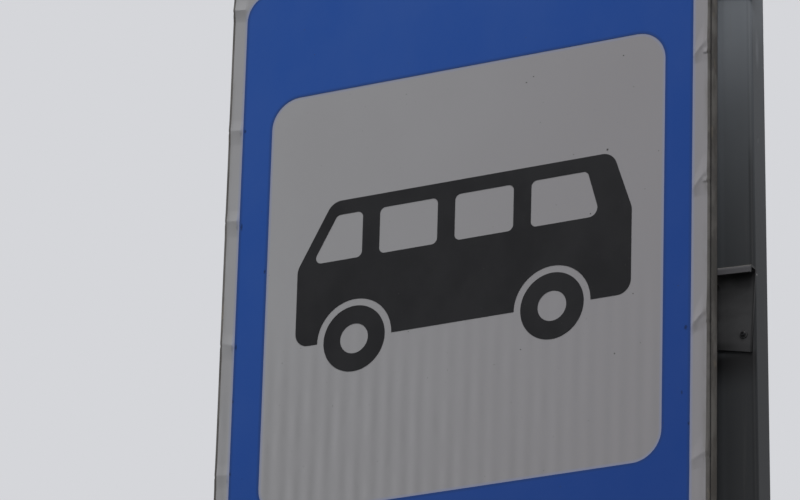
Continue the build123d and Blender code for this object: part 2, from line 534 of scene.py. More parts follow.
def blue_film_material():
    start_material("blue_film_weathered")
    right, up, _ = place_on_sign()
    drift = mottle(scale=7.0, stretch=1.5, low=0.3, high=0.7)
    deep = mix(drift, paint(22, 60, 130), paint(30, 63, 131))
    light = mix(drift, paint(28, 72, 148), paint(37, 76, 148))
    # Painted light: the blue film is lighter towards the upper left and darker towards the lower right
    colour = mix(ramp(right - up, 0.8, -0.75), deep, light)
    outer, window = blue_borders(right, up)
    rim = most(ramp(outer, -0.0050, -0.0012), ramp(window, 0.0050, 0.0012))
    colour = mix(rim * 0.6, colour, paint(32, 58, 108))
    # Dark marks on the blue film, some of them painted shade where the left creases reach the blue
    colour = mix(marks_on_film(BLUE_MARKS, -2 * FILM) * 0.72, colour, paint(14, 24, 48))
    colour = mix(mottle(scale=240.0, low=0.71, high=0.75) * 0.5, colour, paint(10, 30, 74))
    return finish_material(colour, 0.40 + drift * 0.12, FILM_GLOSS, film_skin())


def black_film_material():
    start_material("black_film_weathered")
    drift = mottle(scale=16.0, stretch=1.3, low=0.3, high=0.7)
    colour = mix(drift, paint(29, 29, 31), paint(35, 35, 37))
    colour = mix(mottle(scale=220.0, low=0.69, high=0.74) * 0.5, colour, paint(70, 69, 68))
    return finish_material(colour, 0.42 + drift * 0.14, FILM_GLOSS, film_skin())


# Dull and bright stretches of the right flange, then its blisters: up, back, radius, how much taller, colour
FLANGE_MARKS = (
    (0.3400, 0.0110, 0.0200, 1.2, paint(110, 107, 104)),
    (0.2300, 0.0110, 0.0200, 1.8, paint(106, 103, 100)),
    (0.1400, 0.0110, 0.0200, 1.3, paint(86, 83, 81)),
    (0.0880, 0.0110, 0.0180, 1.1, paint(87, 85, 82)),
    (0.0150, 0.0110, 0.0230, 2.6, paint(79, 77, 74)),
    (-0.1750, 0.0110, 0.0230, 2.0, paint(107, 104, 100)),
    (-0.2720, 0.0110, 0.0230, 1.8, paint(82, 78, 74)),
    (-0.0960, 0.0165, 0.0075, 1.2, paint(106, 101, 99)),
    (-0.0995, 0.0175, 0.0038, 1.2, paint(80, 73, 73)),
    (-0.1120, 0.0165, 0.0080, 1.2, paint(108, 101, 92)),
    (-0.1165, 0.0180, 0.0042, 1.2, paint(76, 69, 61)),
)

# Seam between the rolled edge and the flange, seen as a dark line down the sign's side
SEAM_DEPTH = 0.0041
SEAM_WIDTH = 0.0022
SEAM_CUT = 0.0012
SEAM_END = SEAM_DEPTH + SEAM_WIDTH
SEAM_FRONT_BEND = 0.0002
SEAM_BACK_BEND = 0.0003


def road_dirt_and_shade(up, back):
    """The brown of road dirt on the rolled edge and the flange, darker on the roll, with painted shade in the
    seam and at the back bend.
    """
    dirt = mottle(scale=55.0, stretch=2.2, low=0.38, high=0.62)
    brown = mix(dirt, paint(108, 105, 102), paint(82, 79, 76))
    brown = mix(ramp(up, 0.0, -0.24, 0.0, 0.10), brown, paint(130, 124, 114))
    rolled = ramp(back, 0.0040, 0.0030, 0.0, 0.36)
    beside_film = ramp(back, 0.0020, 0.0006, 0.0, 0.26) * ramp(up, -0.05, -0.12)
    marks = [(on_sign(SIGN_WIDTH / 2, up, back), *look) for up, back, *look in FLANGE_MARKS]
    brown = with_spots(brown, marks)
    brown = mix(rolled + beside_film, brown, paint(58, 56, 55))
    cream = mottle(scale=26.0, stretch=2.2, low=0.62, high=0.70)
    brown = mix(cream * 0.55, brown, paint(132, 122, 106))
    # Painted shade at the flange's back bend
    brown = mix(ramp(back, 0.0190, 0.0208, 0.0, 0.5), brown, paint(48, 46, 45))
    # Painted shade in the seam
    in_seam = ramp(back, SEAM_DEPTH - 0.0013, SEAM_DEPTH - 0.0004) * ramp(back, SEAM_END + 0.0008, SEAM_END)
    return mix(in_seam * 0.92, brown, paint(14, 13, 13))


def panel_material():
    """Zinc sheet, dulled at the back, and brown with road dirt round the rolled edge and the flange, with
    painted shade in its seam and at its back bend.
    """
    start_material("panel_sheet_steel")
    right, up, back = place_on_sign()
    shade, rough, height = zinc(crystal=0.007, contrast=0.28)
    base = shaded(paint(118, 120, 122), shade)
    base = mix(streaks(width=0.012, length=0.35, amount=0.5) * 0.35, base, paint(92, 90, 86))
    outside = ramp(panel_edge(right, up), -0.0058, -0.0046)
    colour = mix(outside, base, road_dirt_and_shade(up, back))
    rust_colour, rust_mask, _ = rust(scale=70.0, share=0.24)
    rusty = rust_mask * (0.25 + outside * 0.6)
    colour = mix(rusty, colour, rust_colour)
    metal = (1.0 - most(outside, rusty)) * 0.55
    return finish_material(colour, rough + outside * 0.2, SHEET_GLOSS, bumped(height, 0.00012), metal)


# Heights on the post from which an effect grows, and where it is full: painted light makes the upper part
# lighter, and painted shade makes the front below the middle rail darkest
POST_LIGHTER_UP = (2.58, 3.04)
POST_FRONT_SHADE = (2.60, 2.51)
POST_FRONT_SHADE_ENDS = ((3.0, 2.8), (1.9, 2.1))
POST_PALE_SIDES = (2.94, 2.99)
POST_DARK_SIDES = (2.985, 2.92)
POST_DARK_REAR = (2.80, 2.86)
POST_BEHIND_SIGN = (1.95, 2.15)
POST_LIGHT_HEIGHTS = (2.79, 3.03)
POST_CORNER = (2.82, 2.76)
SHADOW_BAND_TOP = (2.530, 2.518)
SHADOW_BAND_END = (2.470, 2.518)

# Places across and through the post, written the same way
POST_FRONT = (post_low.y + 0.004, post_low.y + 0.0005)
POST_FRONT_CORNER = (post_low.y + 0.004, post_low.y + 0.002)
POST_REAR = (0.0120, 0.0160)
CORNER_FROM_FRONT = (0.0225, 0.0245)
CORNER_FROM_SIDE = (0.0293, 0.0280)

# How much painted light lightens the front close to the sign, which shades it there, and the places across
# the front between which each part of that grows
LIGHT_NARROW = 0.85
LIGHT_WIDE = 0.18
LIGHT_EDGE = 0.4
NARROW_ACROSS = (-0.008, -0.017)
WIDE_ACROSS = (0.018, -0.012)
EDGE_ACROSS = (-0.0170, -0.0200)
LIGHT_END = (-0.029, -0.024)

# Chips and scratches on the post near its front right corner, the last one a painted highlight down its side
# near the top: place, radius, how much taller, and colour
POST_MARKS = (
    ((0.0300, -0.0150, 2.6300), 0.0034, 1.6, paint(36, 36, 38)),
    ((0.0300, -0.0136, 2.6270), 0.0018, 1.3, paint(168, 168, 166)),
    ((0.0300, -0.0055, 2.8130), 0.0020, 4.0, paint(56, 57, 60)),
    ((0.0300, -0.0045, 2.8110), 0.0010, 6.0, paint(128, 130, 134)),
    ((0.0300, -0.0036, 2.9370), 0.0072, 5.5, paint(106, 109, 114)),
)


def dark_paint(light, dark, share, wear_radius, wear_amount, rust_share):
    """Old grey paint with rubbed edges and rust: its colour, roughness and normal."""
    peel, shade = paint_skin(grain=650.0, wander=0.22)
    colour = shaded(mix(share, dark, light), shade)
    colour = mix(streaks(width=0.006, length=0.25, amount=0.35) * 0.28, colour, paint(96, 95, 92))
    rust_colour, rusty, crust = rust(scale=90.0, share=rust_share)
    colour = mix(rusty, colour, rust_colour)
    colour = mix(edge_wear(radius=wear_radius, amount=wear_amount), colour, paint(118, 112, 104))
    dust_and_painted_light = settled_dust(amount=0.55)
    colour = mix(dust_and_painted_light, colour, paint(122, 117, 108))
    rough = 0.46 + most(rusty, dust_and_painted_light) * 0.35
    return colour, rough, bumped(rusty * crust, 0.0006, bumped(peel, 0.00006))


def front_painted_light(x, z):
    """Painted light on the post's front: lighter close to the sign, which shades it, lighter towards the top
    and darker lower down.
    """
    painted_lift = ramp(x, *NARROW_ACROSS) * LIGHT_NARROW + ramp(x, *WIDE_ACROSS) * LIGHT_WIDE
    painted_lift = painted_lift + ramp(x, *EDGE_ACROSS, 0.0, LIGHT_EDGE)
    return (1.0 + painted_lift * ramp(x, *LIGHT_END)) * ramp(z, *POST_LIGHT_HEIGHTS, 0.80, 1.12)


def post_material():
    start_material("post_grey_paint")
    x, y, z = split(object_place())
    # Painted light: the post's paint is lighter towards the top
    painted_top_light = ramp(z, *POST_LIGHTER_UP)
    colour, rough, normal = dark_paint(paint(99, 103, 108), paint(46, 48, 50), painted_top_light,
                                       wear_radius=0.0012, wear_amount=0.10, rust_share=0.08)
    front = ramp(y, *POST_FRONT)
    sides = 1.0 - front
    # Painted light on the post's sides near the top, and painted shade on them lower down
    colour = shaded(colour, 1.0 + sides * ramp(z, *POST_PALE_SIDES, 0.0, 0.14))
    colour = mix(sides * ramp(z, *POST_DARK_SIDES) * 0.30, colour, paint(34, 35, 37))
    rear = ramp(y, *POST_REAR) * ramp(z, *POST_DARK_REAR)
    colour = mix(rear * 0.25, colour, paint(34, 35, 37))
    # Painted light on the front beside the sign, against the sign's shade
    level = (front_painted_light(x, z) - 1.0) * (front * ramp(z, *POST_BEHIND_SIGN))
    colour = shaded(colour, 1.0 + level)
    # Painted shade: the post's front is darker below the sign, darkest below the middle rail
    front_shade = 0.2 + ramp(z, *POST_FRONT_SHADE, 0.0, 0.5)
    for end in POST_FRONT_SHADE_ENDS:
        front_shade = front_shade * ramp(z, *end)
    colour = mix(front * front_shade, colour, paint(38, 39, 41))
    # Painted shade on the post's rounded front right corner, stronger lower down
    corner = ramp(x, *CORNER_FROM_FRONT) * ramp(x, *CORNER_FROM_SIDE) * ramp(y, *POST_FRONT_CORNER)
    corner = corner * ramp(z, *POST_CORNER, 0.25, 1.0)
    colour = mix(corner * 0.6, colour, paint(28, 29, 31))
    # Painted shadow and dirt: a dark band on the post's front just under the middle rail's lower edge
    dark_band = ramp(z, *SHADOW_BAND_TOP) * ramp(z, *SHADOW_BAND_END)
    colour = mix(dark_band * front * 0.92, colour, paint(12, 12, 13))
    return finish_material(with_spots(colour, POST_MARKS), rough, PAINT_GLOSS, normal)


# Places on a rail between which an effect grows: the face of its web, the front of its lip, and the part
# beside the sign
RAIL_WEB = (-0.030, -0.026)
RAIL_LIP = (-0.0362, -0.0372)
RAIL_BY_SIGN = (-0.010, -0.019)

# Painted light and darkening on the rail: down from its top line, or up from its lower edge
RAIL_UNDER_LIP_LIGHT = (0.032, 0.016)
RAIL_UNDER_LIP_DARK = (0.034, 0.012)
RAIL_LOW_EDGE_DARK = (0.014, 0.003)


def rail_material(name):
    """One rail's paint: darker under its lip and along its lower edge, with painted light and shade in
    places.
    """
    start_material(name + "_grey_paint")
    patches = mottle(scale=18.0, stretch=0.4, low=0.35, high=0.65)
    colour, rough, normal = dark_paint(paint(51, 51, 52), paint(43, 43, 44), patches,
                                       wear_radius=0.0010, wear_amount=0.02, rust_share=0.10)
    x, y, z = split(object_place())
    slope = RAIL_SLOPES[name]
    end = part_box(name)[1].x
    down = rail_line(name, 0.0) - x * math.tan(slope) - z
    dropped = most(x - (end - LUG_LENGTH), 0.0) * (LUG_DROP / LUG_LENGTH)
    to_edge = dropped + RAIL_HEIGHT - down
    low_dark_band = ramp(to_edge, *RAIL_LOW_EDGE_DARK) * ramp(x, 0.016, -0.016, 0.35, 1.0)
    dark_band = most(ramp(down, *RAIL_UNDER_LIP_DARK, 0.0, 0.25), low_dark_band)
    on_web = ramp(y, *RAIL_WEB)
    # Painted light: the web under the lip is made lighter where little light reaches it
    dust_and_painted_light = ramp(down, *RAIL_UNDER_LIP_LIGHT) * ramp(x, 0.010, -0.010)
    colour = mix(dust_and_painted_light * on_web * 0.7, colour, paint(98, 98, 99))
    # Painted light on the web beside the sign, against the shade between them
    by_sign = ramp(x, *RAIL_BY_SIGN) * on_web
    colour = shaded(colour, 1.0 + by_sign * 0.6)
    colour = mix(dark_band * on_web * 0.6, colour, paint(18, 19, 19))
    # Painted shade: the rail's cut end beside the post is made dark
    end_along = end * math.cos(slope) - rail_line(name, end) * math.sin(slope)
    along = x * math.cos(slope) - z * math.sin(slope)
    cut_end = ramp(along, end_along - 0.0030, end_along - 0.0008) * on_web
    colour = mix(cut_end * 0.8, colour, paint(18, 18, 19))
    # Painted light: the lip's front is lighter, as light falls on it
    colour = mix(ramp(y, *RAIL_LIP) * 0.7, colour, paint(76, 75, 78))
    return finish_material(colour, rough, PAINT_GLOSS, normal)


def foot_material():
    start_material("foot_grey_paint")
    patches = mottle(scale=12.0, low=0.35, high=0.65)
    colour, rough, normal = dark_paint(paint(84, 85, 87), paint(70, 71, 73), patches,
                                       wear_radius=0.002, wear_amount=0.8, rust_share=0.28)
    return finish_material(colour, rough, PAINT_GLOSS, normal)


def weld_material():
    """Painted weld metal, with the paint thin on its crests."""
    start_material("weld_painted")
    patches = mottle(scale=40.0, low=0.35, high=0.65)
    colour, rough, normal = dark_paint(paint(84, 85, 87), paint(66, 66, 68), patches,
                                       wear_radius=0.0008, wear_amount=0.9, rust_share=0.42)
    return finish_material(colour, rough, WELD_GLOSS, normal)


def cap_material():
    start_material("cap_black_plastic")
    colour = mix(mottle(scale=60.0, low=0.3, high=0.7), paint(38, 38, 39), paint(50, 50, 51))
    dust_and_painted_light = settled_dust(amount=0.5, scale=90.0)
    colour = mix(dust_and_painted_light, colour, paint(112, 108, 101))
    grain = clouds(object_place(), 1500.0, 2.0, 0.5)
    return finish_material(colour, 0.5 + dust_and_painted_light * 0.3, PLAIN_GLOSS, bumped(grain, 0.00008))


def fixing_material(name, light, dark, rust_share, metal, gloss):
    """Zinc or paint on a small fixing, with specks of rust."""
    start_material(name)
    colour = mix(mottle(scale=320.0, low=0.35, high=0.65), dark, light)
    rust_colour, rusty, crust = rust(scale=400.0, share=rust_share)
    colour = mix(rusty, colour, rust_colour)
    rough = 0.48 + rusty * 0.35
    return finish_material(colour, rough, gloss, bumped(crust, 0.0001), (1.0 - rusty) * metal)


def speck_material():
    start_material("dried_specks")
    colour = mix(mottle(scale=900.0, low=0.35, high=0.65), paint(34, 32, 31), paint(60, 57, 54))
    return finish_material(colour, 0.7, PLAIN_GLOSS)


# Pieces made here

def make_piece(name, mesh_maker, material, sharp=35):
    """Turns a bmesh into a piece of the part that stays where the frame is."""
    bmesh.ops.recalc_face_normals(mesh_maker, faces=mesh_maker.faces)
    mesh = bpy.data.meshes.new(name)
    mesh_maker.to_mesh(mesh)
    mesh_maker.free()
    mesh.polygons.foreach_set("use_smooth", [True] * len(mesh.polygons))
    mesh.set_sharp_from_angle(angle=math.radians(sharp))
    mesh.materials.append(material)
    piece = add_object(name, mesh)
    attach(piece, "root")
    return piece


def skin_rings(maker, rings):
    """Joins closed rings of points into a skin, and closes the first and the last ring."""
    made = [[maker.verts.new(point) for point in ring] for ring in rings]
    count = len(made[0])
    for ring, following in zip(made, made[1:]):
        for i in range(count):
            j = (i + 1) % count
            maker.faces.new((ring[i], ring[j], following[j], following[i]))
    maker.faces.new(made[0])
    maker.faces.new(made[-1])


# Puckers in the rim: each one's place up or right along its side, its strength, the slant of its ridge,
# how far it reaches below, the share of its height at the outer edge, how far up that edge is nicked, and
# how far a pinch's tip stands out there
PUCKERS = {
    "left": (
        (0.4840, 1.25, -0.13, 0.017, 1.0, -0.001, 0),
        (0.3118, 1.20, -0.13, 0.021, 0.5, 0.0, 0),
        (0.1840, 1.35, -0.13, 0.023, 0.4, 0.0, 0),
        (0.0132, 1.20, -0.35, 0.022, 0.1, 0.0, 0),
        (-0.1659, 0.65, -0.10, 0.018, 0.8, 0.0, 0),
        (-0.3380, 1.00, -0.15, 0.018, 0.7, 0.0, 0),
    ),
    "right": (
        (0.4640, 0.9, 0.90, 0.0080, 0.50, 0.0080, 0.0008),
        (0.2957, 1.0, 1.04, 0.0080, 0.50, 0.0052, 0.0014),
        (0.1156, 1.0, 1.15, 0.0090, 0.60, 0.0104, 0.0014),
        (-0.0665, 1.1, 1.05, 0.0060, 0.30, 0.0055, 0.0003),
        (-0.2410, 0.6, 0.50, 0.0115, 0.80, 0.0040, 0),
        (-0.4150, 0.9, 1.00, 0.0080, 0.50, 0.0080, 0.0008),
    ),
    "top": (
        (-0.262, 0.9, 0.8, 0.008, 0.5, 0.008, 0.0008),
        (-0.087, 1.0, 1.0, 0.008, 0.5, 0.008, 0.0008),
        (0.090, 0.8, 0.9, 0.008, 0.5, 0.008, 0.0006),
        (0.264, 1.0, 1.1, 0.008, 0.5, 0.008, 0.0008),
    ),
    "bottom": (
        (-0.270, 1.0, 0.2, 0.018, 0.7, 0.0, 0),
        (-0.092, 0.8, -0.1, 0.018, 0.6, 0.0, 0),
        (0.084, 1.0, 0.1, 0.020, 0.7, 0.0, 0),
        (0.255, 0.9, -0.2, 0.018, 0.8, 0.0, 0),
    ),
}
PUCKER_FADE_DEPTH = 0.009
PUCKER_SOFTNESS = 1.4
FOOT_SOFTNESS = 1.25

# Low creases straight across the rim: height, reach above with the share that reaches further, and reach
# from the blue film's border
CREASE_HEIGHT = 0.0024
CREASE_ABOVE = 0.016
CREASE_FAR_ABOVE = 0.045
CREASE_FAR_SHARE = 0.35
CREASE_INNER_END = 0.0239
CREASE_INNER_REACH = 0.0030

# Pinches with a slanting ridge, which rises outward from the blue film's border
PINCH_HEIGHT = 0.0028
PINCH_INNER_END = 0.0240
PINCH_INNER_REACH = 0.0055
PINCH_PEAK_END = 0.0130
PINCH_ABOVE = 0.012
PINCH_ABOVE_GROWTH = 1.2
PINCH_STEEP_START = 0.008
PINCH_STEEP_REACH = 0.0050
PINCH_STEEP_SHARE = 0.25
PINCH_LEAST_FALL = 0.013
PINCH_SPAN = 0.012

# The fold's tip that stands out at the outer edge of each pinch, and the nick in that edge
TIP_ABOVE = 0.006
TIP_BELOW = 0.0026
TIP_WIDTH = 0.0095
NICK_DEPTH = 0.0008
NICK_REACH = 0.0022
NICK_WIDTH = 0.006

# Stations round the panel: the steps round a corner, how far from it a shorter ring is drawn in, its least
# radius, and the steps along a side, plain and close to a pucker
CORNER_STEPS = 8
CORNER_DRAW = 0.035
CORNER_LEAST = 0.0008
STEP_PLAIN = 0.015
STEP_FINE = 0.00125
STEP_LEAST = STEP_FINE * 0.6
FINE_REACH = 0.030


def side_stations(side, start, end):
    """Places along one side of the panel, close together round its puckers."""
    count = math.ceil((end - start) / STEP_PLAIN)
    places = {start + (end - start) * i / count for i in range(count + 1)}
    steps = round(FINE_REACH / STEP_FINE)
    for place, _, slant, *_ in PUCKERS[side]:
        middle = place + slant * PINCH_SPAN
        places |= {middle + i * STEP_FINE for i in range(-steps, steps + 1)}
    kept = []
    for place in sorted(p for p in places if start <= p <= end):
        if not kept or place - kept[-1] > STEP_LEAST:
            kept.append(place)
    return kept


def panel_outline():
    """Stations round the panel, anticlockwise from the front: side, place along it and outward direction."""
    wide = SIGN_WIDTH / 2 - SIGN_CORNER
    tall = SIGN_HEIGHT / 2 - SIGN_CORNER
    # Each side, half its straight length, 1 if it runs up or right and -1 if not, and its outward direction
    sides = (("right", tall, 1, (1, 0)), ("top", wide, -1, (0, 1)),
             ("left", tall, -1, (-1, 0)), ("bottom", wide, 1, (0, -1)))
    stations = []
    for quarter, (side, half, order, away) in enumerate(sides):
        stations.extend((side, place, away) for place in side_stations(side, -half, half)[::order])
        for i in range(1, CORNER_STEPS):
            angle = math.radians(90 * quarter + 90 * i / CORNER_STEPS)
            stations.append((None, abs(2 * i / CORNER_STEPS - 1), (math.cos(angle), math.sin(angle))))
    return stations


def between(value):
    """A value kept from 0 to 1."""
    return max(0.0, min(1.0, value))


def crease_share(up, inset, slant, below, outer):
    """Height of a crease across the rim, from 0 to 1."""
    inward = between((CREASE_INNER_END - inset) / CREASE_INNER_REACH)
    inward *= outer + (1 - outer) * between(inset / RIM_WIDTH)
    up += slant * (RIM_WIDTH / 2 - inset)
    if up <= 0:
        return inward * between(1 + up / below) ** PUCKER_SOFTNESS
    near = between(1 - up / CREASE_ABOVE) ** PUCKER_SOFTNESS
    far = between(1 - up / CREASE_FAR_ABOVE)
    return inward * ((1 - CREASE_FAR_SHARE) * near + CREASE_FAR_SHARE * far)


def pinch_share(up, inset, slant, below, outer):
    """Height of a pinch, from 0 to 1: hollow above its slanting ridge, and even down to a level foot."""
    outward = PINCH_INNER_END - inset
    if outward <= 0:
        return 0.0
    outer_part = between((outward - PINCH_PEAK_END) / (PINCH_INNER_END - PINCH_PEAK_END))
    crest = min(1.0, outward / PINCH_INNER_REACH) * (1 - (1 - outer) * outer_part)
    past = up - slant * outward
    if past >= 0:
        reach = PINCH_ABOVE + PINCH_ABOVE_GROWTH * outward
        return crest * between(1 - past / reach) ** PUCKER_SOFTNESS
    steep_share = PINCH_STEEP_SHARE * between((outward - PINCH_STEEP_START) / PINCH_STEEP_REACH)
    steep = between(1 + past / PINCH_STEEP_REACH)
    easy = between(1 + past / max(PINCH_LEAST_FALL, slant * outward + below)) ** FOOT_SOFTNESS
    return crest * (steep_share * steep + (1 - steep_share) * easy)


def tip_share(up, inset):
    """Height of the fold's tip at the outer edge, from 0 to 1."""
    along = between(1 - up / TIP_ABOVE) if up > 0 else between(1 + up / TIP_BELOW)
    return along * between(2 * (1 - inset / TIP_WIDTH))


def pucker_at(side, place, inset):
    """How far the rim stands forward, and how far its outer edge is nicked in, at a place on one side."""
    rise = 0.0
    nick = 0.0
    for pucker, strength, slant, below, outer, nicked, tip in PUCKERS[side]:
        up = place - pucker
        if side in ("left", "bottom"):
            rise = max(rise, strength * CREASE_HEIGHT * crease_share(up, inset, slant, below, outer))
        else:
            folded = strength * PINCH_HEIGHT * pinch_share(up, inset, slant, below, outer)
            rise = max(rise, folded + tip * tip_share(up - nicked, inset))
        nick = max(nick, NICK_DEPTH * math.exp(-(((up - nicked) / NICK_REACH) ** 2)))
    return rise, nick


def drawn_in(place, straight, inner_straight):
    """A place along a side, drawn in near the side's ends where an inner ring is shorter."""
    kept = straight - CORNER_DRAW
    if abs(place) <= kept:
        return place
    share = (abs(place) - kept) / CORNER_DRAW
    return math.copysign(kept + share * (inner_straight - kept), place)


# The right side isn't quite square to the top: how much it leans out below the place where it is true
EDGE_TURN = 0.0063
EDGE_TRUE_AT = 0.03
EDGE_TURN_START = 0.322
EDGE_TURN_REACH = 0.022

# The flange behind the seam has sprung open a little: how far its back edge stands out
FLANGE_SPRING = 0.0013


def turned_edge(right, up, depth):
    """A point of the skin as a place in the frame, with the right side's slight turn."""
    share = between((right - EDGE_TURN_START) / EDGE_TURN_REACH)
    spring = FLANGE_SPRING * between((depth - SEAM_END) / (flange_depth - SEAM_END))
    return on_sign(right + share * (EDGE_TURN * (EDGE_TRUE_AT - up) + spring), up, depth)


def panel_point(station, inset, depth):
    """A point of the panel's skin: inward from its outline, back from its front, with the puckers."""
    side, place, (away_right, away_up) = station
    radius = max(SIGN_CORNER - inset, CORNER_LEAST)
    inner_wide = SIGN_WIDTH / 2 - inset - radius
    inner_tall = SIGN_HEIGHT / 2 - inset - radius
    if side is None:
        right = math.copysign(inner_wide, away_right) + radius * away_right
        up = math.copysign(inner_tall, away_up) + radius * away_up
        return turned_edge(right, up, depth)
    if away_up == 0:
        along = drawn_in(place, SIGN_HEIGHT / 2 - SIGN_CORNER, inner_tall)
        right, up = away_right * (inner_wide + radius), along
    else:
        along = drawn_in(place, SIGN_WIDTH / 2 - SIGN_CORNER, inner_wide)
        right, up = along, away_up * (inner_tall + radius)
    rise, nick = pucker_at(side, along, inset)
    fade = max(0.0, 1 - max(depth, 0.0) / PUCKER_FADE_DEPTH)
    nick *= fade * max(0.0, 1 - inset / NICK_WIDTH)
    return turned_edge(right - away_right * nick, up - away_up * nick, depth - rise * fade)


def arc_profile(middle_inset, middle_depth, radius, start, end, steps):
    """Profile points round an arc. Angle 0 is outward and 90 is to the front."""
    points = []
    for i in range(steps + 1):
        angle = math.radians(start + (end - start) * i / steps)
        points.append((middle_inset - radius * math.cos(angle), middle_depth - radius * math.sin(angle)))
    return points


# Insets of the rings across the flat rim, from the blue film's border outward
FLAT_RIM = [
    0.0262, 0.0240, 0.0232, 0.0222, 0.0210, 0.0195, 0.0180, 0.0165,
    0.0150, 0.0135, 0.0120, 0.0108, 0.0095, 0.0080, 0.0065,
]
RIM_END = 0.0052
FLANGE_MIDDLE = 0.013


def panel_profile():
    """Inset and depth round the sheet's section: along its outer face to the return lip, and back inside."""
    back = flange_depth
    outer = [(inset, 0.0) for inset in FLAT_RIM + [RIM_END]]
    outer += arc_profile(ROLLED_EDGE, ROLLED_EDGE, ROLLED_EDGE, 90, 0, 6)
    outer += [(SEAM_CUT, SEAM_DEPTH + SEAM_FRONT_BEND), (SEAM_CUT, SEAM_END)]
    outer += [(0.0, SEAM_END + SEAM_BACK_BEND), (0.0, FLANGE_MIDDLE)]
    outer += arc_profile(SHEET, back - SHEET, SHEET, 0, -90, 3)
    inner = [(LIP_WIDTH, back), (LIP_WIDTH, back - SHEET), (SHEET, back - SHEET), (SHEET, SEAM_END + SHEET)]
    inner += [(SHEET + SEAM_CUT, SEAM_END), (SHEET + SEAM_CUT, SEAM_DEPTH)]
    inner += arc_profile(ROLLED_EDGE, ROLLED_EDGE, ROLLED_EDGE - SHEET, 30, 90, 3)
    return outer + inner + [(inset, SHEET) for inset in reversed(FLAT_RIM)]


def make_panel():
    """The sheet steel pan, with its rolled edge, seam, flange and return lip as one thin closed skin."""
    stations = panel_outline()
    rings = []
    for inset, depth in panel_profile():
        ring = []
        for station in stations:
            notched = station[0] is None and inset == LIP_WIDTH
            width = LIP_NOTCH_END + (LIP_WIDTH - LIP_NOTCH_END) * station[1] if notched else inset
            ring.append(panel_point(station, width, depth))
        rings.append(ring)
    maker = bmesh.new()
    skin_rings(maker, rings)
    piece = make_piece("panel_pan", maker, panel_material(), sharp=40)
    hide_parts("sign_panel")


# The white film lies a little to the right on the panel, so it laps round that edge
FILM_EDGE = 0.0041
FILM_SHIFT = 0.0016
FILM_SHIFT_LEFT = 0.0009
FILM_TURN = 0.0045
FILM_TURN_TOP = 0.05

# Rings over the white film's cut edge: how far inward of it, and how far it lifts off the panel
FILM_EDGE_RINGS = ((0.0004, FILM), (0.0, FILM * 0.6), (0.0, -FILM * 0.3), (0.001, -FILM * 0.3))
FILM_SUNK = FILM * 0.1


def film_edge_point(station, inward, lift):
    """A point near the white film's outer edge, which follows the rolled edge."""
    side, place, (away_right, away_up) = station
    shift = FILM_SHIFT_LEFT
    if away_right > 0:
        up = place if side else math.copysign(SIGN_HEIGHT / 2 - SIGN_CORNER, away_up)
        shift = FILM_SHIFT - FILM_TURN * max(0.0, FILM_TURN_TOP - up)
    inset = FILM_EDGE - shift * away_right + inward
    over = max(0.0, ROLLED_EDGE - inset)
    return panel_point(station, inset, ROLLED_EDGE - math.sqrt(ROLLED_EDGE ** 2 - over ** 2) - lift)


def make_white_film():
    """The white base film, which follows the rim's puckers."""
    stations = panel_outline()
    rings = [[panel_point(station, inset, -FILM) for station in stations] for inset in FLAT_RIM]
    for inward, lift in FILM_EDGE_RINGS:
        rings.append([film_edge_point(station, inward, lift) for station in stations])
    for inset in reversed(FLAT_RIM):
        rings.append([panel_point(station, inset, -FILM_SUNK) for station in stations])
    maker = bmesh.new()
    skin_rings(maker, rings)
    piece = make_piece("white_film_sheet", maker, white_film_material(), sharp=12)
    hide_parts("white_film")


# Fixings on each rail: across from the post's middle, and down from the rail's top line
SCREWS = ((0.0150, 0.0868), (-0.0228, 0.022))
WASHER_RADIUS = 0.0056
WASHER_THICKNESS = 0.0010
WASHER_SOFT = 0.0003
SCREW_RADIUS = 0.0038
SCREW_BORE = SCREW_RADIUS * 0.7
SCREW_RIM = 0.0007
SCREW_DEPTH = 0.0030
SCREW_CROWN = 0.0018
SCREW_CURVE = 0.62
SOCKET_RADIUS = 0.0016
SOCKET_DEPTH = 0.0015
NUT_CORNER = 0.00575
NUT_DEPTH = 0.0055
DOME_DEPTH = 0.0042
DOME_SHARE = 0.86
DOME_FULL_STEPS = 6.4
RIVET_RADIUS = 0.0031
RIVET_DEPTH = 0.0012
RIVET_DROP = 0.0068
RIVET_INSET = LIP_WIDTH * 0.52
HEAD_STEPS = 24
ROUND_STEPS = 28

# Radius and depth round each turned piece, and depth and share of the corner's reach down the nut
WASHER_PROFILE = (
    (SCREW_BORE, 0.0),
    (WASHER_RADIUS, 0.0),
    (WASHER_RADIUS, WASHER_THICKNESS - WASHER_SOFT),
    (WASHER_RADIUS - WASHER_SOFT, WASHER_THICKNESS),
    (SCREW_BORE, WASHER_THICKNESS),
)
RIVET_PROFILE = (
    (RIVET_RADIUS, 0.0),
    (RIVET_RADIUS * 0.98, RIVET_DEPTH * 0.35),
    (RIVET_RADIUS * 0.85, RIVET_DEPTH * 0.78),
    (RIVET_RADIUS * 0.62, RIVET_DEPTH),
    (RIVET_RADIUS * 0.42, RIVET_DEPTH * 0.98),
    (RIVET_RADIUS * 0.38, RIVET_DEPTH * 0.45),
)
NUT_CHAMFERS = ((0.0, 0.94), (0.0005, 1.0), (NUT_DEPTH - 0.0007, 1.0), (NUT_DEPTH, 0.90))


def ring_round(middle, reaches, depth, turn, away):
    """A ring of points, each at its own reach, round a line that runs forward or back through a point."""
    points = []
    for i, reach in enumerate(reaches):
        angle = turn + 2 * math.pi * i / len(reaches)
        points.append(Vector((
            middle.x + reach * math.cos(angle),
            middle.y + away * depth,
            middle.z + reach * math.sin(angle),
        )))
    return points


def turn_profile(maker, middle, profile, turn, away):
    """A turned piece from radius and depth pairs, closed at both ends."""
    section = [([radius] * ROUND_STEPS, depth) for radius, depth in profile]
    skin_rings(maker, [ring_round(middle, reaches, depth, turn, away) for reaches, depth in section])


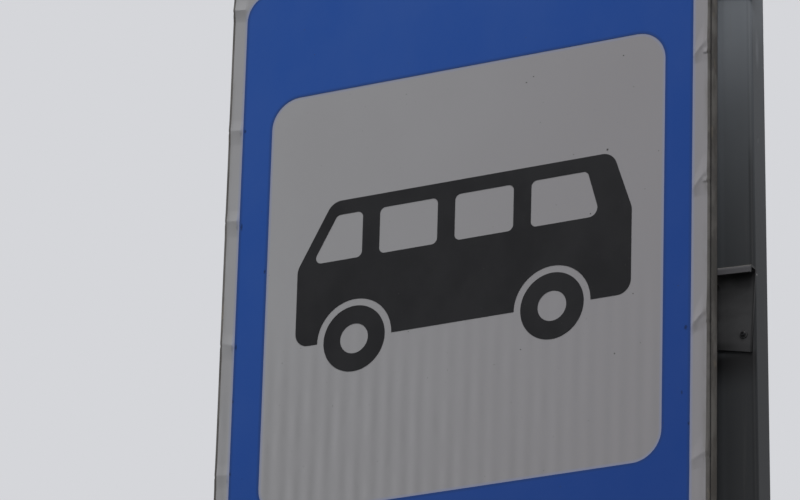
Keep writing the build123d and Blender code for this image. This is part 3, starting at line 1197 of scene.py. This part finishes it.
def six_sided(corner, widest=math.inf):
    """Reaches round a six-sided section, with its corners cut at the widest one."""
    flat = corner * math.cos(math.pi / 6)
    sides = [(i % 4) / 4 * math.pi / 3 - math.pi / 6 for i in range(HEAD_STEPS)]
    return [min(flat / math.cos(side), widest) for side in sides]


def screw_section():
    """Reaches and depths of a button head with a six-sided socket."""
    section = [([SCREW_RADIUS] * HEAD_STEPS, 0.0), ([SCREW_RADIUS] * HEAD_STEPS, SCREW_RIM)]
    for i in range(1, 6):
        angle = math.pi / 2 * i / 6
        radius = SCREW_RADIUS * math.cos(angle) * SCREW_CURVE + SCREW_CROWN * i / 5
        section.append(([radius] * HEAD_STEPS, SCREW_RIM + (SCREW_DEPTH - SCREW_RIM) * math.sin(angle)))
    socket = six_sided(SOCKET_RADIUS)
    return section + [(socket, SCREW_DEPTH), (socket, SCREW_DEPTH - SOCKET_DEPTH)]


def cap_nut_section():
    """Reaches and depths of a six-sided nut with a domed cap."""
    section = [(six_sided(NUT_CORNER, NUT_CORNER * chamfer), depth) for depth, chamfer in NUT_CHAMFERS]
    dome = NUT_CORNER * math.cos(math.pi / 6) * DOME_SHARE
    for i in range(7):
        angle = math.pi / 2 * i / DOME_FULL_STEPS
        section.append(([dome * math.cos(angle)] * HEAD_STEPS, NUT_DEPTH + DOME_DEPTH * math.sin(angle)))
    return section


def make_fixings(washer_name, head_name, section, face, away):
    """One kind of head on washers, at every screw of every rail."""
    washers = bmesh.new()
    heads = bmesh.new()
    for name in RAIL_SLOPES:
        for x, down in SCREWS:
            seat = Vector((x, face, rail_line(name, x) - down))
            turn = chance.uniform(0, math.pi)
            turn_profile(washers, seat, WASHER_PROFILE, turn, away)
            seat.y += away * WASHER_THICKNESS
            skin_rings(heads, [ring_round(seat, reaches, depth, turn, away) for reaches, depth in section])
    make_piece(washer_name, washers, washer_finish)
    make_piece(head_name, heads, screw_finish, sharp=30)


def make_rivets():
    """Blind rivets that hold the panel's return lips to the lips of the rails."""
    maker = bmesh.new()
    for name in RAIL_SLOPES:
        for side in (-1, 1):
            x = panel_middle.x + side * (SIGN_WIDTH / 2 - RIVET_INSET)
            seat = Vector((x, panel_high.y + RAIL_SHEET, rail_line(name, x) - RIVET_DROP))
            turn_profile(maker, seat, RIVET_PROFILE, chance.uniform(0, 3), 1)
    make_piece("rail_rivets", maker, washer_finish)


# Welds at the foot, with ripples along each bead
WELD_LEG = 0.0055
WELD_STEP = 0.0009
WELD_SUNK = 0.0008
WELD_RIPPLE = 0.0031
WELD_RIPPLE_SHARE = 0.063
WELD_SWELL_SHARE = 0.05
WELD_SWELL_TURNS = 160
WELD_END_SHARE = 0.55
WELD_END_GROWTH = 0.15
WELD_BULGE = 0.72
WELD_PHASES = 6.3
GUSSET_THICKNESS = 0.008
GUSSET_SNIPE = 0.010
GUSSET_TOP_MARGIN = 0.003
GUSSET_TIP_MARGIN = 0.002
POST_WELD_GAP = GUSSET_THICKNESS / 2 + 0.004
CORNER_RADIUS = 0.0045


def weld_run(maker, path, wall, floors):
    """A rippled bead along a path, with the direction up the wall, and out along the floor at each place."""
    rings = []
    phase = chance.uniform(0, WELD_PHASES)
    slow = chance.uniform(0, WELD_PHASES)
    travelled = 0.0
    for i, (point, floor) in enumerate(zip(path, floors)):
        travelled += (point - path[max(i - 1, 0)]).length
        turn = travelled / WELD_RIPPLE + phase / WELD_PHASES
        ripple = 1 + WELD_RIPPLE_SHARE * (1 - 4 * abs(turn % 1 - 0.5))
        ripple += WELD_SWELL_SHARE * math.sin(travelled * WELD_SWELL_TURNS + slow)
        taper = min(1.0, WELD_END_SHARE + WELD_END_GROWTH * min(i, len(path) - 1 - i))
        leg = WELD_LEG * ripple * taper
        ring = [point - (wall + floor) * WELD_SUNK]
        for j in range(7):
            angle = math.pi / 2 * j / 6
            across, along = math.cos(angle), math.sin(angle)
            ring.append(point + (floor * across + wall * along) * leg / (across + along) ** WELD_BULGE)
        rings.append(ring)
    skin_rings(maker, rings)


def straight_path(start, end):
    count = max(2, round((end - start).length / WELD_STEP))
    return [start.lerp(end, i / count) for i in range(count + 1)]


def make_gusset_welds():
    """Fillet welds down both faces of each rib, on the post and on the foot plate."""
    maker = bmesh.new()
    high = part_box("gussets")[1]
    for away in (Vector((1, 0, 0)), Vector((-1, 0, 0)), Vector((0, 1, 0)), Vector((0, -1, 0))):
        near, far = (post_high.x, high.x) if away.x else (post_high.y, high.y)
        for side in (-1, 1):
            face = UP.cross(away) * side
            beside = face * (GUSSET_THICKNESS / 2)
            base = away * (near + GUSSET_SNIPE) + beside + UP * plate_top
            tip = away * (far - GUSSET_TIP_MARGIN) + beside + UP * plate_top
            foot = away * near + beside + UP * (plate_top + GUSSET_SNIPE)
            top = away * near + beside + UP * (high.z - GUSSET_TOP_MARGIN)
            for path, wall in ((straight_path(base, tip), UP), (straight_path(foot, top), away)):
                weld_run(maker, path, wall, [face] * len(path))
    make_piece("gusset_welds", maker, weld_finish, sharp=60)


def make_post_weld():
    """The weld round the post's foot, in four runs between the ribs."""
    maker = bmesh.new()
    wide, deep = post_high.x, post_high.y
    for right in (-1, 1):
        for back in (-1, 1):
            corner = Vector((right * (wide - CORNER_RADIUS), back * (deep - CORNER_RADIUS), plate_top))
            along_back = straight_path(Vector((right * POST_WELD_GAP, back * deep, plate_top)),
                                       Vector((corner.x, back * deep, plate_top)))
            along_side = straight_path(Vector((right * wide, corner.y, plate_top)),
                                       Vector((right * wide, back * POST_WELD_GAP, plate_top)))
            angles = [math.pi / 2 * i / 8 for i in range(1, 8)]
            turning = [Vector((right * math.sin(angle), back * math.cos(angle), 0)) for angle in angles]
            path = along_back + [corner + away * CORNER_RADIUS for away in turning] + along_side
            floors = [Vector((0, back, 0))] * len(along_back) + turning
            floors += [Vector((right, 0, 0))] * len(along_side)
            weld_run(maker, path, UP, floors)
    make_piece("post_foot_weld", maker, weld_finish, sharp=60)


# Small drops: corners round each one, and its reach and rise from ring to ring
BLOB_CORNERS = 9
BLOB_PROFILE = ((1.0, -0.15), (1.0, 0.12), (0.88, 0.5), (0.62, 0.84), (0.28, 1.0))


def add_blob(maker, place, radius, height, up, right):
    """A small flattened drop on a face."""
    ahead = up.cross(right)
    waver = [chance.uniform(0.85, 1.15) for _ in range(BLOB_CORNERS)]
    rings = []
    for reach, rise in BLOB_PROFILE:
        ring = []
        for i in range(BLOB_CORNERS):
            angle = 2 * math.pi * i / BLOB_CORNERS
            outward = right * math.cos(angle) + ahead * math.sin(angle)
            ring.append(place + outward * radius * reach * waver[i] + up * height * rise)
        rings.append(ring)
    skin_rings(maker, rings)


# Spatter: how many drops, how far along a rib and beside its weld they lie, and their radii
SPATTER_COUNT = 46
SPATTER_ALONG = (0.035, 0.135)
SPATTER_GAP = 0.002
SPATTER_SPREAD = 0.011
SPATTER_RADII = (0.0005, 0.0013)


def make_spatter():
    """Weld spatter that stuck to the foot plate close to the ribs."""
    maker = bmesh.new()
    for _ in range(SPATTER_COUNT):
        angle = chance.randrange(4) * math.pi / 2
        along = chance.uniform(*SPATTER_ALONG)
        beside = GUSSET_THICKNESS / 2 + WELD_LEG + abs(chance.gauss(0, SPATTER_SPREAD)) + SPATTER_GAP
        beside *= chance.choice((-1, 1))
        x = along * math.cos(angle) - beside * math.sin(angle)
        y = along * math.sin(angle) + beside * math.cos(angle)
        radius = chance.uniform(*SPATTER_RADII)
        add_blob(maker, Vector((x, y, plate_top)), radius, radius * 0.8, UP, Vector((1, 0, 0)))
    make_piece("weld_spatter", maker, weld_finish)


# Dried specks that stand on the films: right, up and radius
SPECKS = [
    (0.2075, 0.1918, 0.0014),
    (0.0905, 0.3045, 0.0009),
    (0.1004, 0.3111, 0.0008),
    (0.2282, 0.3170, 0.0009),
    (0.1850, 0.1087, 0.0009),
    (0.2460, -0.0085, 0.0008),
    (0.0899, -0.0589, 0.0008),
    (0.2215, -0.0843, 0.0009),
]
SMALL_SPECK_COUNT = 70
SMALL_SPECK_RADII = (0.0003, 0.0006)
SPECK_MARGIN = 0.03
FILM_EDGE_KEPT_OFF = 0.0015


def make_specks():
    maker = bmesh.new()
    forward = Vector((0, -1, 0))
    for right, up, radius in SPECKS:
        add_blob(maker, on_sign(right, up, -FILM), radius, radius * 0.35, forward, sign_right)
    added = 0
    while added < SMALL_SPECK_COUNT:
        right = chance.uniform(-SIGN_WIDTH / 2 + SPECK_MARGIN, SIGN_WIDTH / 2 - SPECK_MARGIN)
        up = chance.uniform(-SIGN_HEIGHT / 2 + SPECK_MARGIN, SIGN_HEIGHT / 2 - SPECK_MARGIN)
        across = abs(right - SQUARE_MIDDLE[0]) - SQUARE_WIDTH / 2
        along = abs(up - SQUARE_MIDDLE[1]) - SQUARE_HEIGHT / 2
        outside = max(across, along)
        if abs(outside) < FILM_EDGE_KEPT_OFF:
            continue
        radius = chance.uniform(*SMALL_SPECK_RADII)
        depth = -2 * FILM if outside > 0 else -FILM
        add_blob(maker, on_sign(right, up, depth), radius, radius * 0.3, forward, sign_right)
        added += 1
    make_piece("dried_specks", maker, speck_material())


# Stage

# Sky light from below to above, and from right to left: where it starts to grow, where it is full, and its
# strength at both
SKY_RISING = (-0.25, 0.75, 0.04, 1.20)
SKY_TO_LEFT = (0.9, -0.9, 0.66, 1.30)
SKY_COLOUR = (0.98, 0.99, 1.0, 1.0)
BACKDROP_COLOUR = paint(213, 214, 218)
FLOOR_SEEN = paint(174, 174, 175)
FLOOR_LIT = paint(64, 64, 64)
FLOOR_HALF = 60.0


def seen():
    """Share of what the camera, gloss and clear surfaces see, and not what lights the part."""
    ray = put("LightPath")
    return most(*outputs(ray, "Is Camera Ray", "Is Glossy Ray", "Is Transmission Ray"))


def build_world():
    """Pale backdrop for what the camera and reflections see, and soft sky light from above for the part."""
    world = bpy.data.worlds.new("studio")
    world.use_nodes = True
    Bench.tree = world.node_tree
    Bench.tree.nodes.clear()
    x, _, z = split(put("TexCoord", out="Generated"))
    light = put("Background", {"Color": SKY_COLOUR, "Strength": ramp(z, *SKY_RISING) * ramp(x, *SKY_TO_LEFT)})
    backdrop = put("Background", {"Color": BACKDROP_COLOUR, "Strength": 1.0})
    show("World", put("MixShader", {0: seen(), 1: light, 2: backdrop}))
    bpy.context.scene.world = world


def add_lamp(name, place, aim, size, power):
    data = bpy.data.lights.new(name, "AREA")
    data.shape = "RECTANGLE"
    data.size = data.size_y = size
    data.energy = power
    lamp = add_object(name, data)
    lamp.location = place
    lamp.rotation_mode = "QUATERNION"
    lamp.rotation_quaternion = (Vector(aim) - Vector(place)).to_track_quat("-Z", "Y")
    lamp.visible_camera = False


def build_floor():
    """Plain pale floor, which lights the part from below less than it shows."""
    start_material("floor_pale")
    material = finish_material(mix(seen(), FLOOR_LIT, FLOOR_SEEN), 0.9, FLOOR_GLOSS)
    maker = bmesh.new()
    corners = ((-1, -1), (1, -1), (1, 1), (-1, 1))
    maker.faces.new([maker.verts.new((FLOOR_HALF * x, FLOOR_HALF * y, 0)) for x, y in corners])
    mesh = bpy.data.meshes.new("floor")
    maker.to_mesh(mesh)
    maker.free()
    mesh.materials.append(material)
    floor = add_object("floor", mesh)


build_camera()
build_world()
build_floor()
add_lamp("key_softbox", place=(1.82, -5.18, 9.54), aim=(-0.36, 0, 2.4), size=4.2, power=512)
add_lamp("back_softbox", place=(-1.2, 4.0, 6.5), aim=(-0.2, 0, 1.8), size=3.0, power=230)

screw_finish = fixing_material("screw_dark_zinc", paint(30, 30, 32), paint(20, 20, 22),
                               rust_share=0.30, metal=0.2, gloss=0.2)
washer_finish = fixing_material("washer_painted", paint(52, 52, 53), paint(44, 44, 45),
                                rust_share=0.15, metal=0.0, gloss=0.12)
weld_finish = weld_material()

make_panel()
make_white_film()
make_fixings("rail_screw_washers", "rail_screws", screw_section(), post_low.y - RAIL_SHEET, -1)
make_fixings("cap_nut_washers", "cap_nuts", cap_nut_section(), post_high.y, 1)
make_rivets()
make_gusset_welds()
make_post_weld()
make_spatter()
make_specks()

finishes = {
    "base_plate": foot_material(),
    "post": post_material(),
    "post_cap": cap_material(),
    "blue_film": blue_film_material(),
    "bus_film": black_film_material(),
}
finishes["gussets"] = finishes["base_plate"]
finishes["wheel_film"] = finishes["bus_film"]
for name in RAIL_SLOPES:
    finishes[name] = rail_material(name)
for name, finish in finishes.items():
    for held in nodes[name].material_slots:
        held.material = finish

bpy.context.scene.view_settings.view_transform = "Standard"
